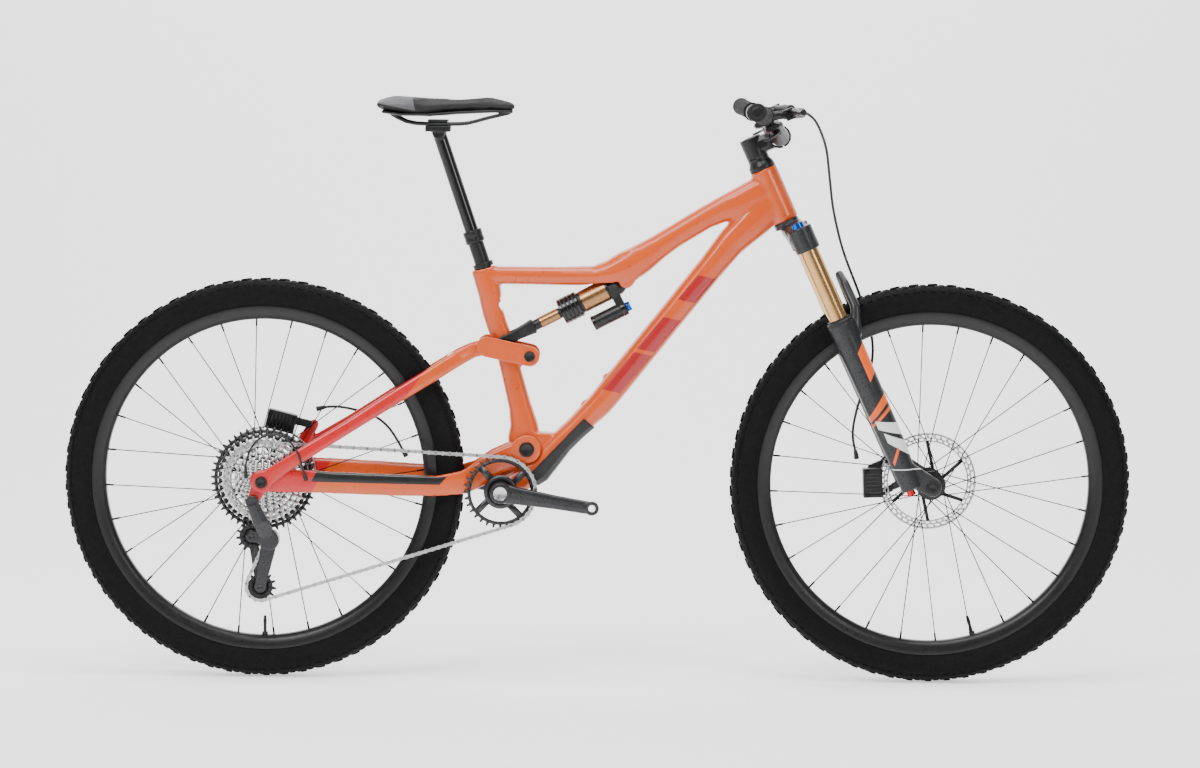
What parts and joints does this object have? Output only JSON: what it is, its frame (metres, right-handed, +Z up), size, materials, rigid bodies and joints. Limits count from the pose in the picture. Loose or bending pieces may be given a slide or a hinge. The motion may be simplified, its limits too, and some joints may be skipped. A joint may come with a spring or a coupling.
{
  "type": "mountain bike",
  "caption": "Full-suspension trail bike with a four-bar rear end, telescopic fork, chain drive, disc brakes and a dropper seat post.",
  "frame": {"origin": "on the ground, halfway between the two axles, in the bike's middle plane", "axes": "+X forward, +Y to the rider's left, +Z up; the chain side is -Y"},
  "size_m": [1.968, 0.7832, 1.0725],
  "materials": {
    "frame_paint": "gloss metallic orange",
    "swingarm_paint": "gloss metallic orange",
    "seatstay_paint": "gloss orange that turns red towards the axle",
    "black_metal": "black anodised",
    "black_plastic": "matt black",
    "hose_black": "satin black",
    "fork_paint": "satin dark grey",
    "stanchion_gold": "hard-coated gold, polished",
    "rim_black": "satin black",
    "tyre_rubber": "dull black rubber",
    "rotor_steel": "ground steel",
    "chain_steel": "nickel-plated",
    "cassette_steel": "bright steel, two outer cogs black",
    "crank_metal": "dark satin grey",
    "derailleur_metal": "black and dark grey",
    "shock_metal": "dark, with a bronze-coloured reservoir",
    "blue_anodised": "blue anodised",
    "red_anodised": "red anodised",
    "grip_rubber": "matt black, ribbed",
    "saddle_cover": "matt black cover with grey rear patches",
    "saddle_shell": "black shell and black rails"
  },
  "bodies": {
    "frame": {"main_frame": "frame_paint", "down_tube_guard": "black_plastic", "bottom_bracket": "black_metal", "seat_clamp": "black_metal", "post_outer": "black_metal", "main_pivot_axle": "black_metal"},
    "steering": {"fork_crown": "fork_paint", "stanchion_right": "stanchion_gold", "stanchion_left": "stanchion_gold", "headset_cover": "black_metal", "stem": "black_metal", "stem_faceplate": "black_metal", "handlebar": "black_metal", "grip_right": "grip_rubber", "grip_left": "grip_rubber", "brake_body_right": "black_metal", "brake_body_left": "black_metal", "shifter_body": "black_plastic", "dropper_remote": "black_plastic"},
    "compression_dial": {"compression_dial": "blue_anodised"},
    "brake_lever_right": {"brake_lever_right": "black_metal"},
    "brake_lever_left": {"brake_lever_left": "black_metal"},
    "shift_lever": {"shift_lever": "black_plastic"},
    "dropper_lever": {"dropper_lever": "black_plastic"},
    "fork_lowers": {"fork_lowers": "fork_paint", "front_axle": "black_metal", "front_caliper": "black_metal", "front_hose": "hose_black"},
    "rebound_dial": {"rebound_dial": "red_anodised"},
    "front_wheel": {"front_tyre": "tyre_rubber", "front_rim": "rim_black", "front_hub_spokes": "black_metal", "front_rotor": "rotor_steel"},
    "rear_wheel": {"rear_tyre": "tyre_rubber", "rear_rim": "rim_black", "rear_hub_spokes": "black_metal", "rear_rotor": "rotor_steel"},
    "cassette": {"cassette": "cassette_steel"},
    "crank": {"crank_right": "crank_metal", "crank_left": "crank_metal", "chainring": "crank_metal"},
    "swingarm": {"swingarm": "swingarm_paint", "rear_axle": "black_metal", "derailleur_body": "derailleur_metal", "gear_housing": "hose_black", "chain": "chain_steel"},
    "derailleur_cage": {"derailleur_cage": "derailleur_metal"},
    "guide_pulley": {"guide_pulley": "derailleur_metal"},
    "tension_pulley": {"tension_pulley": "derailleur_metal"},
    "seatstay": {"seatstay": "seatstay_paint", "rear_caliper": "black_metal", "rear_hose": "hose_black"},
    "rocker": {"rocker_link": "frame_paint"},
    "shock_body": {"shock_body": "shock_metal"},
    "shock_shaft": {"shock_shaft": "shock_metal"},
    "shock_lever": {"shock_lever": "blue_anodised"},
    "post_inner": {"post_inner": "black_metal", "saddle_base": "saddle_shell", "saddle_pad": "saddle_cover"}
  },
  "joints": [
    {"name": "steering_turn", "type": "hinge", "parent": "frame", "child": "steering", "pos_m": [0.34149, 0, 0.85361], "axis": [-0.4131, 0, 0.9107], "range_deg": [-70, 70]},
    {"name": "fork_slide", "type": "slide", "parent": "steering", "child": "fork_lowers", "axis": [-0.4131, 0, 0.9107], "range_m": [0, 0.14], "stiffness_N_per_m": 4500, "springref_m": -0.02, "deforming": ["front_hose"]},
    {"name": "front_wheel_spin", "type": "hinge", "parent": "fork_lowers", "child": "front_wheel", "pos_m": [0.61401, 0, 0.37], "axis": [0, 1, 0], "continuous": true},
    {"name": "compression_dial_turn", "type": "hinge", "parent": "steering", "child": "compression_dial", "pos_m": [0.3626, -0.065, 0.84266], "axis": [-0.4131, 0, 0.9107], "range_deg": [0, 90]},
    {"name": "rebound_dial_turn", "type": "hinge", "parent": "fork_lowers", "child": "rebound_dial", "pos_m": [0.57302, -0.065, 0.36425], "axis": [-0.4131, 0, 0.9107], "range_deg": [0, 270]},
    {"name": "brake_lever_right_pull", "type": "hinge", "parent": "steering", "child": "brake_lever_right", "pos_m": [0.33469, -0.252, 1.05258], "axis": [0.4131, 0, -0.9107], "range_deg": [0, 18], "stiffness_Nm_per_rad": 1.5, "springref_deg": -17.19},
    {"name": "brake_lever_left_pull", "type": "hinge", "parent": "steering", "child": "brake_lever_left", "pos_m": [0.33469, 0.252, 1.05258], "axis": [-0.4131, 0, 0.9107], "range_deg": [0, 18], "stiffness_Nm_per_rad": 1.5, "springref_deg": -17.19},
    {"name": "shift_lever_push", "type": "hinge", "parent": "steering", "child": "shift_lever", "pos_m": [0.314, -0.214, 1.01752], "axis": [-0.4131, 0, 0.9107], "range_deg": [0, 25], "stiffness_Nm_per_rad": 0.6, "springref_deg": -11.46},
    {"name": "dropper_lever_push", "type": "hinge", "parent": "steering", "child": "dropper_lever", "pos_m": [0.314, 0.214, 1.01752], "axis": [0.4131, 0, -0.9107], "range_deg": [0, 25], "stiffness_Nm_per_rad": 0.6, "springref_deg": -11.46},
    {"name": "crank_spin", "type": "hinge", "parent": "frame", "child": "crank", "pos_m": [-0.17751, 0, 0.352], "axis": [0, 1, 0], "continuous": true},
    {"name": "swingarm_swing", "type": "hinge", "parent": "frame", "child": "swingarm", "pos_m": [-0.13041, 0, 0.4294], "axis": [0, 1, 0], "range_deg": [0, 14], "stiffness_Nm_per_rad": 700, "springref_deg": -8.59, "deforming": ["chain"]},
    {"name": "rear_wheel_spin", "type": "hinge", "parent": "swingarm", "child": "rear_wheel", "pos_m": [-0.61401, 0, 0.37], "axis": [0, 1, 0], "continuous": true},
    {"name": "cassette_spin", "type": "hinge", "parent": "swingarm", "child": "cassette", "pos_m": [-0.61401, 0, 0.37], "axis": [0, 1, 0], "continuous": true},
    {"name": "cage_swing", "type": "hinge", "parent": "swingarm", "child": "derailleur_cage", "pos_m": [-0.60101, 0, 0.262], "axis": [0, 1, 0], "range_deg": [-30, 20], "stiffness_Nm_per_rad": 2.5},
    {"name": "guide_pulley_spin", "type": "hinge", "parent": "derailleur_cage", "child": "guide_pulley", "pos_m": [-0.63501, 0, 0.265], "axis": [0, 1, 0], "continuous": true},
    {"name": "tension_pulley_spin", "type": "hinge", "parent": "derailleur_cage", "child": "tension_pulley", "pos_m": [-0.61901, 0, 0.172], "axis": [0, 1, 0], "continuous": true},
    {"name": "seatstay_swing", "type": "hinge", "parent": "swingarm", "child": "seatstay", "pos_m": [-0.61401, 0, 0.37], "axis": [0, 1, 0], "range_deg": [-4.1, 0], "deforming": ["rear_hose"]},
    {"name": "rocker_swing", "type": "hinge", "parent": "frame", "child": "rocker", "pos_m": [-0.12631, 0, 0.6011], "axis": [0, 1, 0], "range_deg": [0, 50.2]},
    {"name": "shock_swing", "type": "hinge", "parent": "frame", "child": "shock_body", "pos_m": [0.05009, 0, 0.7411], "axis": [0, 1, 0], "range_deg": [0, 5.45]},
    {"name": "shock_slide", "type": "slide", "parent": "shock_body", "child": "shock_shaft", "axis": [0.8915, 0, 0.453], "range_m": [0, 0.0507]},
    {"name": "shock_lever_turn", "type": "hinge", "parent": "shock_body", "child": "shock_lever", "pos_m": [0.05799, 0, 0.69464], "axis": [0.8915, 0, 0.453], "range_deg": [0, 70]},
    {"name": "post_slide", "type": "slide", "parent": "frame", "child": "post_inner", "axis": [-0.3223, 0, 0.9466], "range_m": [-0.1, 0], "stiffness_N_per_m": 500, "springref_m": 0.2}
  ],
  "couplings": [
    {"joint": "rocker_swing", "follows": "swingarm_swing", "ratio": 3.58},
    {"joint": "seatstay_swing", "follows": "swingarm_swing", "ratio": -0.29},
    {"joint": "shock_swing", "follows": "swingarm_swing", "ratio": 0.3864},
    {"joint": "shock_slide", "follows": "swingarm_swing", "m_per_rad": 0.2071},
    {"joint": "cassette_spin", "follows": "crank_spin", "ratio": 0.94118},
    {"joint": "guide_pulley_spin", "follows": "crank_spin", "ratio": -2.4615},
    {"joint": "tension_pulley_spin", "follows": "crank_spin", "ratio": 2.4615}
  ]
}
